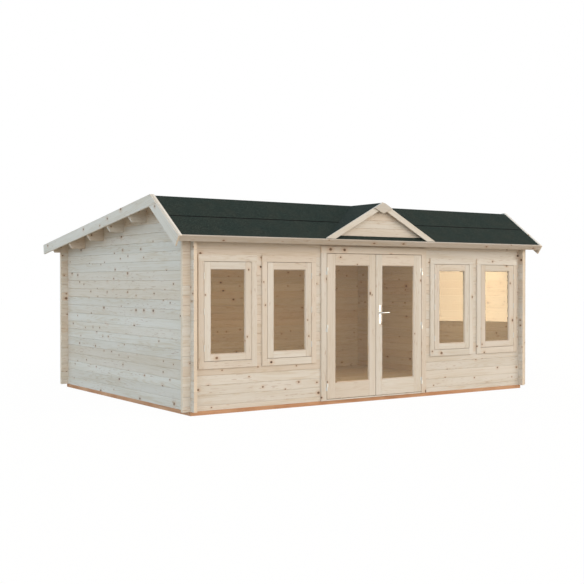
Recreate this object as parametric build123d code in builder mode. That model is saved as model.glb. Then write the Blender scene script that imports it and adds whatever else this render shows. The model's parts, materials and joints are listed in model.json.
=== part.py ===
from build123d import *
from math import cos, radians, sin, tan
import os

# Garden log cabin in millimetres. +X runs right along the front, the front faces -Y, +Z is up.
# The origin is on the ground, under the middle of the base.

# Walls
WALL_WIDTH = 5300.0  # over the outer faces of the two gable walls
WALL_DEPTH = 3760.0  # over the outer faces of the front and rear walls
LOG_THICK = 44.0
LOG_PITCH = 114.0  # height of one course
LONG_LOG_END = 100.0  # how far the front and rear logs run on past the gable walls
GABLE_LOG_END = 80.0  # and the gable walls' logs past the front and rear walls
GROOVE = 4.0  # depth and half height of the V between two courses
LEAST_TOP_LOG = 0.7  # least height of the rear wall's top log, in courses

# Base and floor
BASE_HIGH = 47.0
BASE_WIDE = 70.0
JOIST_WIDE = 45.0
JOISTS = 9
FLOOR_THICK = 19.0

# Roof
RIDGE_BACK = 502.0  # ridge behind the outer face of the front wall
RIDGE_HIGH = 2509.0  # top of the felt at the ridge
FRONT_PITCH = 35.5
REAR_PITCH = 7.8
FELT_THICK = 3.0
BOARD_THICK = 19.0
FRONT_EAVE = 168.0  # ends of the roof boards in front of the front wall
REAR_EAVE = 247.0  # and behind the rear wall
VERGE = 225.0  # roof boards past the outer face of a gable wall
BARGE_THICK = 20.0
BARGE_WIDE = 134.0
BARGE_RISE = 18.5  # rear barge board's top edge above the felt
REAR_BARGE_PROUD = 3.0  # its face past the front one's, which it covers
STRIP_WIDE = 28.0
STRIP_RISE = 8.0  # front verge strip above the felt
FASCIA_THICK = 20.0
FASCIA_WIDE = 75.0
FASCIA_RISE = 5.0

# Purlins
PURLINS = 4  # between the ridge and the rear wall
PURLIN_THICK = 44.0
PURLIN_HIGH = 163.0
END_CUT_LONG = 42.0  # slanting cut under each end
END_CUT_HIGH = 61.0

# Gablet over the door
GABLET_PITCH = 28.3
GABLET_FRONT = 160.0  # its barge boards' faces in front of the front wall
GABLET_BARGE_WIDE = 71.0
GABLET_BARGE_THICK = 20.0
GABLET_BARGE_RISE = 5.0
INFILL_FRONT = 100.0  # its boards in front of the front wall
INFILL_THICK = 18.0
DIAMOND_HALF = 145.0
DIAMOND_RISE = 66.0
DIAMOND_DROP = 65.0
DIAMOND_TIP = 22.0
DIAMOND_THICK = 18.0

# Double door
LEAF_WIDE = 761.0
LEAF_OVER_FLOOR = 3.0
LEAF_BELOW_JOINT = 68.0  # its top edge below the joint over the door
LEAF_THICK = 40.0
MEETING_GAP = 7.0
LEAF_GAP = 6.0  # round a leaf, and behind it
DOOR_STILE = 133.0  # on the hinge side
MEETING_STILE = 109.0
DOOR_TOP_RAIL = 148.0
DOOR_BOTTOM_RAIL = 205.0
CASING_THICK = 20.0
INNER_CASING_THICK = 18.0
CASING_WIDE = 81.5
CASING_LAP = 40.0  # a casing's hold on the logs round its opening
HEAD_CASING_WIDE = 84.0
STOP_LAP = 19.5  # a stop behind the edge of its leaf
GLASS_THICK = 4.0
GLAZING_SLANT = 9.0  # slanting edge round a pane, on both faces

# Windows
DOOR_PIER_SHOWS = 74.0  # logs between the casings of the door and of a window
WINDOW_PIER_SHOWS = 72.0  # logs between the casings of two windows
WINDOW_CASING_WIDE = 780.0
CASING_BELOW_SILL = 38.0
CASING_OVER_LINTEL = 13.0
SASH_FROM_SIDE = 75.5  # a sash's edges from the outer edges of its casings
SASH_FROM_BOTTOM = 87.0
SASH_FROM_TOP = 85.0
SASH_GAP = 4.0
SASH_STOP = 16.0
SASH_STILE = 90.5
SASH_TOP_RAIL = 90.0
SASH_BOTTOM_RAIL = 83.0

# Hinges, lock and lever
LOW_HINGE_UP = 146.0  # from a leaf's lower edge
MIDDLE_HINGE_UP = 871.0
TOP_HINGE_DOWN = 215.0  # from its top edge
HINGE_HIGH = 90.0
HINGE_RADIUS = 6.0
HINGE_PIN_RADIUS = 3.0
HINGE_PLATE_WIDE = 17.0
HINGE_PLATE_THICK = 2.0
HINGE_SPLIT = 2.0  # between the two knuckles of a hinge
HINGE_PIN_LONG = 35.0  # a pin's reach into the knuckle of its leaf
HINGE_PIN_CLEAR = 0.1
PLATE_WIDE = 34.0
PLATE_HIGH = 240.0
PLATE_THICK = 3.0
PLATE_DOWN = 145.0  # a plate's lower edge below the lever's axis
LEVER_HIGH = 1120.0
LEVER_LONG = 130.0
LEVER_STAND = 48.0
LEVER_RADIUS = 8.5
BOSS_RADIUS = 13.0
BOSS_LONG = 8.0
LEVER_CLEAR = 0.3
LOCK_IN = 62.0  # lever's axis from the leaf's meeting edge

SPARE = 100.0  # how far a shape runs on before it is cut back

# What follows from those sizes
HALF_WIDTH = WALL_WIDTH / 2
FRONT = -WALL_DEPTH / 2
REAR = WALL_DEPTH / 2
FRONT_INNER = FRONT + LOG_THICK
REAR_INNER = REAR - LOG_THICK
HALF_INNER = HALF_WIDTH - LOG_THICK
HALF_LOG_ENDS = HALF_WIDTH + LONG_LOG_END
HALF_ROOF = HALF_WIDTH + VERGE
HALF_BARGE = HALF_ROOF + BARGE_THICK
HALF_REAR_BARGE = HALF_BARGE + REAR_BARGE_PROUD
HALF_FELT = HALF_ROOF - STRIP_WIDE
RIDGE = FRONT + RIDGE_BACK
UNDERSIDE = FELT_THICK + BOARD_THICK
FLOOR_TOP = BASE_HIGH + FLOOR_THICK
WALL_TOP = RIDGE_HIGH + SPARE
FRONT_TAN = tan(radians(FRONT_PITCH))
REAR_TAN = tan(radians(REAR_PITCH))
FRONT_COS = cos(radians(FRONT_PITCH))
REAR_COS = cos(radians(REAR_PITCH))
FRONT_SIN = sin(radians(FRONT_PITCH))
REAR_SIN = sin(radians(REAR_PITCH))
GABLET_TAN = tan(radians(GABLET_PITCH))
GABLET_COS = cos(radians(GABLET_PITCH))
FRONT_RUN = (RIDGE_BACK + FRONT_EAVE) / FRONT_COS  # along the slope, from the ridge
REAR_RUN = (WALL_DEPTH - RIDGE_BACK + REAR_EAVE) / REAR_COS


def front_joint(course):
    """Height of a joint of the front and rear walls, which start with half a log."""
    return BASE_HIGH + (course + 0.5) * LOG_PITCH


def side_joint(course):
    """Height of a joint of the gable walls, which start with a whole log."""
    return BASE_HIGH + course * LOG_PITCH


SILL_JOINT = front_joint(4)  # windows stand on this joint
LINTEL_JOINT = front_joint(15)  # over the windows
DOOR_JOINT = front_joint(16)  # over the door
COURSES = int((RIDGE_HIGH - BASE_HIGH) / LOG_PITCH) + 1
LEAF_LOW = FLOOR_TOP + LEAF_OVER_FLOOR
LEAF_HIGH = DOOR_JOINT - LEAF_BELOW_JOINT
LEAF_OUTER = MEETING_GAP / 2 + LEAF_WIDE
JAMB_INNER = LEAF_OUTER + LEAF_GAP
STOP_INNER = LEAF_OUTER - STOP_LAP
CASING_OUTER = JAMB_INNER + CASING_WIDE
DOOR_HALF = CASING_OUTER - CASING_LAP
HEAD_LOW = LEAF_HIGH + LEAF_GAP
STOP_HEAD_LOW = LEAF_HIGH - STOP_LAP
LEAF_FRONT = FRONT - CASING_THICK
LEAF_BACK = LEAF_FRONT + LEAF_THICK
STOP_FRONT = LEAF_BACK + LEAF_GAP
INNER_CASING_BACK = FRONT_INNER + INNER_CASING_THICK
WINDOW_HOLE_HALF = WINDOW_CASING_WIDE / 2 - CASING_LAP
WINDOW_CASING_HEIGHTS = (SILL_JOINT - CASING_BELOW_SILL, LINTEL_JOINT + CASING_OVER_LINTEL)
NEAR_WINDOW = CASING_OUTER + DOOR_PIER_SHOWS + WINDOW_CASING_WIDE / 2
FAR_WINDOW = NEAR_WINDOW + WINDOW_CASING_WIDE + WINDOW_PIER_SHOWS
SASH_HALF = WINDOW_CASING_WIDE / 2 - SASH_FROM_SIDE
SASH_LOW = WINDOW_CASING_HEIGHTS[0] + SASH_FROM_BOTTOM
SASH_HIGH = WINDOW_CASING_HEIGHTS[1] - SASH_FROM_TOP


def front_high(y, depth=0.0):
    """Height of the front slope at y, that far square below the felt's face."""
    return RIDGE_HIGH - depth / FRONT_COS - (RIDGE - y) * FRONT_TAN


def rear_high(y, depth=0.0):
    """Height of the rear slope at y, that far square below the felt's face."""
    return RIDGE_HIGH - depth / REAR_COS - (y - RIDGE) * REAR_TAN


def crossing(front_depth, rear_depth):
    """(y, z) where a layer of the front slope meets a layer of the rear slope."""
    y = RIDGE + (front_depth / FRONT_COS - rear_depth / REAR_COS) / (FRONT_TAN + REAR_TAN)
    return y, front_high(y, front_depth)


def on_front(run, depth):
    """(y, z) of a point down the front slope."""
    y = RIDGE - run * FRONT_COS + depth * FRONT_SIN
    return y, RIDGE_HIGH - run * FRONT_SIN - depth * FRONT_COS


def on_rear(run, depth):
    """(y, z) of a point down the rear slope."""
    y = RIDGE + run * REAR_COS - depth * REAR_SIN
    return y, RIDGE_HIGH - run * REAR_SIN - depth * REAR_COS


def block(x_span, y_span, z_span, mode=Mode.ADD):
    """A square-edged piece between two values on each axis."""
    with BuildSketch(Plane.XY.offset(z_span[0])) as outline:
        with Locations(((x_span[0] + x_span[1]) / 2, (y_span[0] + y_span[1]) / 2)):
            Rectangle(x_span[1] - x_span[0], y_span[1] - y_span[0])
    extrude(outline.sketch, amount=z_span[1] - z_span[0], mode=mode)


def slant_round(x_span, z_span, face_y, inward):
    """Cut a slanting edge round an opening in a face that looks along Y."""
    with BuildSketch(Plane(
        ((x_span[0] + x_span[1]) / 2, face_y, (z_span[0] + z_span[1]) / 2),
        x_dir=(1, 0, 0),
        z_dir=(0, inward, 0),
    )) as outline:
        Rectangle(
            x_span[1] - x_span[0] + 2 * GLAZING_SLANT,
            z_span[1] - z_span[0] + 2 * GLAZING_SLANT,
        )
    extrude(outline.sketch, amount=GLAZING_SLANT, taper=45, mode=Mode.SUBTRACT)


def along_x(x_span, points, mode=Mode.ADD):
    """An outline of (y, z) points run along X."""
    with BuildSketch(Plane.YZ.offset(x_span[0])) as outline:
        with BuildLine():
            Polyline(*points, close=True)
        make_face()
    extrude(outline.sketch, amount=x_span[1] - x_span[0], mode=mode)


def along_y(y_span, points, mode=Mode.ADD):
    """An outline of (x, z) points run along Y."""
    with BuildSketch(Plane.XZ.offset(-y_span[1])) as outline:
        with BuildLine():
            Polyline(*points, close=True)
        make_face()
    extrude(outline.sketch, amount=y_span[1] - y_span[0], mode=mode)


def rod(foot, direction, radius, length, mode=Mode.ADD):
    """A round piece from a point along a direction."""
    with BuildSketch(Plane(foot, z_dir=direction)) as outline:
        Circle(radius)
    extrude(outline.sketch, amount=length, mode=mode)


def log_outline(near, low, high, joints):
    """Section through stacked logs as (across, up) points, with a V at each joint on both faces."""
    far = near + LOG_THICK
    inside = [z for z in joints if low + GROOVE < z < high - GROOVE]
    points = [(near, low)]
    for z in inside:
        points += [(near, z - GROOVE), (near + GROOVE, z), (near, z + GROOVE)]
    points += [(near, high), (far, high)]
    for z in reversed(inside):
        points += [(far, z + GROOVE), (far - GROOVE, z), (far, z - GROOVE)]
    return points + [(far, low)]


FRONT_JOINTS = [front_joint(course) for course in range(COURSES)]
SIDE_JOINTS = [side_joint(course) for course in range(1, COURSES + 1)]
RIDGE_INNER = crossing(UNDERSIDE, UNDERSIDE)
FRONT_LOG_ENDS = FRONT - GABLE_LOG_END
REAR_LOG_ENDS = REAR + GABLE_LOG_END


def cut_under_roof(half_length):
    """Keep only what lies under the roof boards."""
    along_x(
        (-half_length, half_length),
        [
            (FRONT_LOG_ENDS, -SPARE),
            (REAR_LOG_ENDS, -SPARE),
            (REAR_LOG_ENDS, rear_high(REAR_LOG_ENDS, UNDERSIDE)),
            RIDGE_INNER,
            (FRONT_LOG_ENDS, front_high(FRONT_LOG_ENDS, UNDERSIDE)),
        ],
        mode=Mode.INTERSECT,
    )


def notches(x_middle, columns, y_near, first_middle):
    """Cut half a log's height from every course, where the logs of a crossing wall pass."""
    stack_middle = first_middle + (COURSES - 1) / 2 * LOG_PITCH
    with BuildSketch(Plane.XZ.offset(-y_near - LOG_THICK)) as outline:
        with Locations((x_middle, stack_middle)):
            with GridLocations(WALL_WIDTH - LOG_THICK, LOG_PITCH, columns, COURSES):
                Rectangle(LOG_THICK, LOG_PITCH / 2)
    extrude(outline.sketch, amount=LOG_THICK, mode=Mode.SUBTRACT)


def notch_for_gable_walls(y_near):
    """Cut the crossings of a front or rear wall where the gable walls' logs pass."""
    notches(0, 2, y_near, side_joint(0) + LOG_PITCH / 2)


def notch_for_long_walls(x_low):
    """Cut the crossings of a gable wall where the front and rear walls' logs pass."""
    for y_near in (FRONT, REAR_INNER):
        notches(x_low + LOG_THICK / 2, 1, y_near, side_joint(0))


def purlin_places():
    """Front face of each purlin, the ridge one first, evenly spaced back to the rear wall."""
    first = RIDGE_INNER[0] - PURLIN_THICK / 2
    pitch = (REAR_INNER - first) / (PURLINS + 1)
    return [first + pitch * number for number in range(PURLINS + 1)]


def purlin_low(y_near):
    """Height of a purlin's underside."""
    middle = y_near + PURLIN_THICK / 2
    return min(rear_high(middle, UNDERSIDE), RIDGE_INNER[1]) - PURLIN_HIGH


def purlin(y_near, thick, low, top):
    """A beam along X whose ends meet the barge boards and are cut back below."""
    foot = HALF_ROOF - END_CUT_LONG
    outline = [
        (-foot, low),
        (foot, low),
        (HALF_ROOF, low + END_CUT_HIGH),
        (HALF_ROOF, top),
        (-HALF_ROOF, top),
        (-HALF_ROOF, low + END_CUT_HIGH),
    ]
    along_y((y_near, y_near + thick), outline)


def write(piece, name):
    """Label a finished piece and write it to its own file."""
    piece.part.label = name
    export_step(piece.part, f"parts/{name}.step")


os.makedirs("parts", exist_ok=True)

# Base of treated timber
with BuildPart() as base_beams:
    block((-HALF_WIDTH, HALF_WIDTH), (FRONT, FRONT + BASE_WIDE), (0, BASE_HIGH))
    block((-HALF_WIDTH, HALF_WIDTH), (REAR - BASE_WIDE, REAR), (0, BASE_HIGH))
write(base_beams, "base_beams")

with BuildPart() as base_joists:
    joist_ends = (FRONT + BASE_WIDE, REAR - BASE_WIDE)
    block((-HALF_WIDTH, -HALF_WIDTH + BASE_WIDE), joist_ends, (0, BASE_HIGH))
    block((HALF_WIDTH - BASE_WIDE, HALF_WIDTH), joist_ends, (0, BASE_HIGH))
    joist_pitch = (WALL_WIDTH - BASE_WIDE) / (JOISTS + 1)
    for number in range(1, JOISTS + 1):
        middle = -HALF_WIDTH + BASE_WIDE / 2 + joist_pitch * number
        block((middle - JOIST_WIDE / 2, middle + JOIST_WIDE / 2), joist_ends, (0, BASE_HIGH))
write(base_joists, "base_joists")

with BuildPart() as floor_boards:
    block((-HALF_INNER, HALF_INNER), (FRONT_INNER, REAR_INNER), (BASE_HIGH, FLOOR_TOP))
write(floor_boards, "floor_boards")

# Gable walls, notched at both corners, with a pocket for each purlin
for name, x_low in (("left_gable_wall", -HALF_WIDTH), ("right_gable_wall", HALF_INNER)):
    with BuildPart() as gable_wall:
        along_y(
            (FRONT_LOG_ENDS, REAR_LOG_ENDS),
            log_outline(x_low, BASE_HIGH, WALL_TOP, SIDE_JOINTS),
        )
        cut_under_roof(HALF_WIDTH)
        notch_for_long_walls(x_low)
        for y_near in purlin_places():
            block(
                (x_low, x_low + LOG_THICK),
                (y_near, y_near + PURLIN_THICK),
                (purlin_low(y_near), WALL_TOP),
                mode=Mode.SUBTRACT,
            )
    write(gable_wall, name)


def long_wall(x_spans, y_near, low, high, joints=FRONT_JOINTS):
    """Logs of the front or rear wall between two heights."""
    for x_span in x_spans:
        along_x(x_span, log_outline(y_near, low, high, joints))
    notch_for_gable_walls(y_near)


def both_sides(near, far):
    """The same span each side of the middle."""
    return [(-far, -near), (near, far)]


# Front wall: below the windows, between them, over them, and over the door
with BuildPart() as front_wall_below_windows:
    long_wall(both_sides(DOOR_HALF, HALF_LOG_ENDS), FRONT, BASE_HIGH, SILL_JOINT)
write(front_wall_below_windows, "front_wall_below_windows")

with BuildPart() as front_wall_piers:
    pier_edges = [DOOR_HALF]
    for place in (NEAR_WINDOW, FAR_WINDOW):
        pier_edges += [place - WINDOW_HOLE_HALF, place + WINDOW_HOLE_HALF]
    pier_edges += [HALF_LOG_ENDS]
    pier_spans = []
    for near, far in zip(pier_edges[0::2], pier_edges[1::2]):
        pier_spans += both_sides(near, far)
    long_wall(pier_spans, FRONT, SILL_JOINT, LINTEL_JOINT)
write(front_wall_piers, "front_wall_piers")

with BuildPart() as front_wall_over_windows:
    long_wall(both_sides(DOOR_HALF, HALF_LOG_ENDS), FRONT, LINTEL_JOINT, DOOR_JOINT)
write(front_wall_over_windows, "front_wall_over_windows")

with BuildPart() as front_wall_top:
    long_wall([(-HALF_LOG_ENDS, HALF_LOG_ENDS)], FRONT, DOOR_JOINT, RIDGE_HIGH)
    cut_under_roof(HALF_LOG_ENDS)
write(front_wall_top, "front_wall_top")

# Rear wall, whose top log runs out to the barge boards like the purlins
REAR_COURSES = (rear_high(REAR, UNDERSIDE) - BASE_HIGH) / LOG_PITCH - 0.5
REAR_JOINT = front_joint(int(REAR_COURSES - LEAST_TOP_LOG))

with BuildPart() as rear_wall:
    long_wall([(-HALF_LOG_ENDS, HALF_LOG_ENDS)], REAR_INNER, BASE_HIGH, REAR_JOINT)
write(rear_wall, "rear_wall")

with BuildPart() as rear_wall_top_log:
    purlin(REAR_INNER, LOG_THICK, REAR_JOINT, RIDGE_HIGH)
    notch_for_gable_walls(REAR_INNER)
    cut_under_roof(HALF_ROOF)
write(rear_wall_top_log, "rear_wall_top_log")

# Purlins
with BuildPart() as ridge_purlin:
    ridge_place = purlin_places()[0]
    purlin(ridge_place, PURLIN_THICK, purlin_low(ridge_place), RIDGE_HIGH)
    cut_under_roof(HALF_ROOF)
write(ridge_purlin, "ridge_purlin")

with BuildPart() as roof_purlins:
    for y_near in purlin_places()[1:]:
        purlin(y_near, PURLIN_THICK, purlin_low(y_near), RIDGE_HIGH)
    cut_under_roof(HALF_ROOF)
write(roof_purlins, "roof_purlins")


def front_layer(top, bottom, rear_top, rear_bottom, past=0.0):
    """(y, z) outline of a layer of the front slope, up to two depths of the rear slope."""
    return [
        crossing(top, rear_top),
        on_front(FRONT_RUN + past, top),
        on_front(FRONT_RUN + past, bottom),
        crossing(bottom, rear_bottom),
    ]


def rear_layer(top, bottom, front_top, front_bottom, past=0.0):
    """(y, z) outline of a layer of the rear slope, up to two depths of the front slope."""
    return [
        crossing(front_top, top),
        crossing(front_bottom, bottom),
        on_rear(REAR_RUN + past, bottom),
        on_rear(REAR_RUN + past, top),
    ]


def fascia_outline(on_slope, run, top):
    """(y, z) outline of a board square across the end of a slope."""
    bottom = top + FASCIA_WIDE
    face = run + FASCIA_THICK
    return [on_slope(run, top), on_slope(face, top), on_slope(face, bottom), on_slope(run, bottom)]


# Roof boards and felt, mitred at the ridge
BOARD_DEPTHS = (FELT_THICK, UNDERSIDE)
FELT_DEPTHS = (0, FELT_THICK)

with BuildPart() as roof_boards_front:
    along_x((-HALF_ROOF, HALF_ROOF), front_layer(*BOARD_DEPTHS, *BOARD_DEPTHS))
write(roof_boards_front, "roof_boards_front")

with BuildPart() as roof_boards_rear:
    along_x((-HALF_ROOF, HALF_ROOF), rear_layer(*BOARD_DEPTHS, *BOARD_DEPTHS))
write(roof_boards_rear, "roof_boards_rear")

with BuildPart() as felt_front:
    along_x((-HALF_FELT, HALF_FELT), front_layer(*FELT_DEPTHS, *FELT_DEPTHS))
write(felt_front, "felt_front")

with BuildPart() as felt_rear:
    along_x((-HALF_FELT, HALF_FELT), rear_layer(*FELT_DEPTHS, *FELT_DEPTHS))
write(felt_rear, "felt_rear")

# Barge boards: the rear ones run on over the front ones, which butt up to them
STRIP_SPANS = [(-HALF_ROOF, -HALF_FELT), (HALF_FELT, HALF_ROOF)]
REAR_BARGE_LOW = BARGE_WIDE - BARGE_RISE

with BuildPart() as barge_boards_rear:
    for x_span in both_sides(HALF_ROOF, HALF_REAR_BARGE):
        along_x(x_span, rear_layer(-BARGE_RISE, REAR_BARGE_LOW, 0, 0, FASCIA_THICK))
write(barge_boards_rear, "barge_boards_rear")

with BuildPart() as barge_boards_front:
    for x_span in both_sides(HALF_ROOF, HALF_BARGE):
        along_x(x_span, front_layer(0, BARGE_WIDE, REAR_BARGE_LOW, REAR_BARGE_LOW, FASCIA_THICK))
write(barge_boards_front, "barge_boards_front")

FRONT_STRIP = front_layer(-STRIP_RISE, FELT_THICK, -BARGE_RISE, FELT_THICK, FASCIA_THICK)
REAR_STRIP = rear_layer(-BARGE_RISE, FELT_THICK, -STRIP_RISE, FELT_THICK, FASCIA_THICK)

with BuildPart() as verge_strips_front:
    for x_span in STRIP_SPANS:
        along_x(x_span, FRONT_STRIP)
write(verge_strips_front, "verge_strips_front")

with BuildPart() as verge_strips_rear:
    for x_span in STRIP_SPANS:
        along_x(x_span, REAR_STRIP)
write(verge_strips_rear, "verge_strips_rear")

# Fascias between the barge boards, notched where the verge strips run out over them
with BuildPart() as fascia_front:
    along_x((-HALF_ROOF, HALF_ROOF), fascia_outline(on_front, FRONT_RUN, -FASCIA_RISE))
    for x_span in STRIP_SPANS:
        along_x(x_span, FRONT_STRIP, mode=Mode.SUBTRACT)
write(fascia_front, "fascia_front")

with BuildPart() as fascia_rear:
    along_x((-HALF_ROOF, HALF_ROOF), fascia_outline(on_rear, REAR_RUN, -BARGE_RISE))
    for x_span in STRIP_SPANS:
        along_x(x_span, REAR_STRIP, mode=Mode.SUBTRACT)
write(fascia_rear, "fascia_rear")


def gablet_high(x, depth=0.0):
    """Height of the gablet's roof at x, that far square below its felt's face."""
    return RIDGE_HIGH - depth / GABLET_COS - abs(x) * GABLET_TAN


GABLET_FOOT = (RIDGE_HIGH - on_front(FRONT_RUN, 0)[1]) / GABLET_TAN + SPARE
GABLET_FACE = FRONT - GABLET_FRONT


def stand_on_felt():
    """Cut away what would lie below the face of the front slope's felt."""
    front = GABLET_FACE - SPARE
    along_x(
        (-HALF_WIDTH, HALF_WIDTH),
        [(RIDGE, RIDGE_HIGH), (front, front_high(front)), (front, BASE_HIGH), (RIDGE, BASE_HIGH)],
        mode=Mode.SUBTRACT,
    )


def gablet_band(side, top, bottom):
    """(x, z) outline of one side of a layer of the gablet's roof."""
    foot = side * GABLET_FOOT
    return [
        (0, gablet_high(0, top)),
        (0, gablet_high(0, bottom)),
        (foot, gablet_high(foot, bottom)),
        (foot, gablet_high(foot, top)),
    ]


for name, side in (("left", -1), ("right", 1)):
    with BuildPart() as gablet_roof:
        y_span = (GABLET_FACE + GABLET_BARGE_THICK, RIDGE)
        along_y(y_span, gablet_band(side, FELT_THICK, UNDERSIDE))
        stand_on_felt()
    write(gablet_roof, f"gablet_roof_{name}")

    with BuildPart() as gablet_barge:
        y_span = (GABLET_FACE, GABLET_FACE + GABLET_BARGE_THICK)
        along_y(y_span, gablet_band(side, -GABLET_BARGE_RISE, GABLET_BARGE_WIDE - GABLET_BARGE_RISE))
        stand_on_felt()
    write(gablet_barge, f"gablet_barge_{name}")

with BuildPart() as gablet_felt:
    for side in (-1, 1):
        along_y((GABLET_FACE + GABLET_BARGE_THICK, RIDGE), gablet_band(side, 0, FELT_THICK))
    stand_on_felt()
write(gablet_felt, "gablet_felt")

with BuildPart() as gablet_boards:
    infill_face = FRONT - INFILL_FRONT
    along_y(
        (infill_face, infill_face + INFILL_THICK),
        [
            (0, gablet_high(0, UNDERSIDE)),
            (-GABLET_FOOT, gablet_high(-GABLET_FOOT, UNDERSIDE)),
            (GABLET_FOOT, gablet_high(GABLET_FOOT, UNDERSIDE)),
        ],
    )
    stand_on_felt()
write(gablet_boards, "gablet_boards")

with BuildPart() as gablet_diamond:
    diamond_middle = gablet_high(DIAMOND_HALF, -GABLET_BARGE_RISE)
    along_y(
        (GABLET_FACE - DIAMOND_THICK, GABLET_FACE),
        [
            (-DIAMOND_HALF, diamond_middle),
            (-DIAMOND_TIP, diamond_middle + DIAMOND_RISE),
            (DIAMOND_TIP, diamond_middle + DIAMOND_RISE),
            (DIAMOND_HALF, diamond_middle),
            (0, diamond_middle - DIAMOND_DROP),
        ],
    )
write(gablet_diamond, "gablet_diamond")

# Door frame
with BuildPart() as door_jambs:
    for x_span in both_sides(JAMB_INNER, DOOR_HALF):
        block(x_span, (FRONT, FRONT_INNER), (BASE_HIGH, DOOR_JOINT))
    for x_span in both_sides(STOP_INNER, DOOR_HALF):
        block(x_span, (STOP_FRONT, FRONT_INNER), (BASE_HIGH, DOOR_JOINT))
write(door_jambs, "door_jambs")

with BuildPart() as door_head:
    block((-JAMB_INNER, JAMB_INNER), (FRONT, STOP_FRONT), (HEAD_LOW, DOOR_JOINT))
    block((-STOP_INNER, STOP_INNER), (STOP_FRONT, FRONT_INNER), (STOP_HEAD_LOW, DOOR_JOINT))
write(door_head, "door_head")

with BuildPart() as door_threshold:
    threshold_top = LEAF_LOW - LEAF_GAP
    block((-JAMB_INNER, JAMB_INNER), (LEAF_FRONT, STOP_FRONT), (BASE_HIGH, threshold_top))
    block((-STOP_INNER, STOP_INNER), (STOP_FRONT, FRONT_INNER), (BASE_HIGH, threshold_top))
write(door_threshold, "door_threshold")

with BuildPart() as door_side_casings:
    for x_span in both_sides(JAMB_INNER, CASING_OUTER):
        block(x_span, (LEAF_FRONT, FRONT), (BASE_HIGH, HEAD_LOW))
        block(x_span, (FRONT_INNER, INNER_CASING_BACK), (FLOOR_TOP, HEAD_LOW))
write(door_side_casings, "door_side_casings")

with BuildPart() as door_head_casings:
    casing_span = (-CASING_OUTER, CASING_OUTER)
    head_span = (HEAD_LOW, HEAD_LOW + HEAD_CASING_WIDE)
    block(casing_span, (LEAF_FRONT, FRONT), head_span)
    block(casing_span, (FRONT_INNER, INNER_CASING_BACK), head_span)
write(door_head_casings, "door_head_casings")

# Door leaves: a framed ring round one pane each
HINGE_AXIS_X = LEAF_OUTER + LEAF_GAP / 2
HINGE_AXIS_Y = LEAF_FRONT - HINGE_RADIUS
GLASS_INNER = MEETING_GAP / 2 + MEETING_STILE
GLASS_OUTER = LEAF_OUTER - DOOR_STILE
GLASS_HEIGHTS = (LEAF_LOW + DOOR_BOTTOM_RAIL, LEAF_HIGH - DOOR_TOP_RAIL)
GLASS_Y = (LEAF_FRONT + LEAF_BACK - GLASS_THICK) / 2


def hinge_half(side, low, inward):
    """One half of a hinge: a knuckle on the axis and a plate on the face beside it."""
    rod((side * HINGE_AXIS_X, HINGE_AXIS_Y, low), UP, HINGE_RADIUS, HINGE_HALF_HIGH)
    near = side * (HINGE_AXIS_X + inward * LEAF_GAP / 2)
    far = near + side * inward * HINGE_PLATE_WIDE
    y_span = (LEAF_FRONT - HINGE_PLATE_THICK, LEAF_FRONT)
    block(sorted((near, far)), y_span, (low, low + HINGE_HALF_HIGH))


UP = (0, 0, 1)
HINGE_HALF_HIGH = (HINGE_HIGH - HINGE_SPLIT) / 2
HINGE_FEET = [
    middle - HINGE_HIGH / 2
    for middle in (LEAF_LOW + LOW_HINGE_UP, LEAF_LOW + MIDDLE_HINGE_UP, LEAF_HIGH - TOP_HINGE_DOWN)
]

with BuildPart() as frame_hinges:
    for side in (-1, 1):
        for low in HINGE_FEET:
            hinge_half(side, low, inward=1)
            pin_foot = (side * HINGE_AXIS_X, HINGE_AXIS_Y, low + HINGE_HALF_HIGH)
            rod(pin_foot, UP, HINGE_PIN_RADIUS, HINGE_SPLIT + HINGE_PIN_LONG)
write(frame_hinges, "frame_hinges")

for name, side in (("left", -1), ("right", 1)):
    with BuildPart() as door_leaf:
        leaf_edges = sorted((side * MEETING_GAP / 2, side * LEAF_OUTER))
        glass_edges = sorted((side * GLASS_INNER, side * GLASS_OUTER))
        block(leaf_edges, (LEAF_FRONT, LEAF_BACK), (LEAF_LOW, LEAF_HIGH))
        block(glass_edges, (LEAF_FRONT, LEAF_BACK), GLASS_HEIGHTS, mode=Mode.SUBTRACT)
        slant_round(glass_edges, GLASS_HEIGHTS, LEAF_FRONT, 1)
        slant_round(glass_edges, GLASS_HEIGHTS, LEAF_BACK, -1)
    write(door_leaf, f"door_leaf_{name}")

    with BuildPart() as door_glass:
        block(glass_edges, (GLASS_Y, GLASS_Y + GLASS_THICK), GLASS_HEIGHTS)
    write(door_glass, f"door_glass_{name}")

    with BuildPart() as leaf_hinges:
        for low in HINGE_FEET:
            leaf_low = low + HINGE_HALF_HIGH + HINGE_SPLIT
            hinge_half(side, leaf_low, inward=-1)
            bore_foot = (side * HINGE_AXIS_X, HINGE_AXIS_Y, leaf_low)
            bore_long = HINGE_PIN_LONG + HINGE_PIN_CLEAR
            rod(bore_foot, UP, HINGE_PIN_RADIUS + HINGE_PIN_CLEAR, bore_long, Mode.SUBTRACT)
    write(leaf_hinges, f"leaf_hinges_{name}")

# Lock plates and levers on the right leaf, outside and inside
LEVER_X = MEETING_GAP / 2 + LOCK_IN

with BuildPart() as lock_plates:
    plate_span = (LEVER_X - PLATE_WIDE / 2, LEVER_X + PLATE_WIDE / 2)
    plate_low = LEVER_HIGH - PLATE_DOWN
    for y_span in ((LEAF_FRONT - PLATE_THICK, LEAF_FRONT), (LEAF_BACK, LEAF_BACK + PLATE_THICK)):
        block(plate_span, y_span, (plate_low, plate_low + PLATE_HIGH))
write(lock_plates, "lock_plates")

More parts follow.
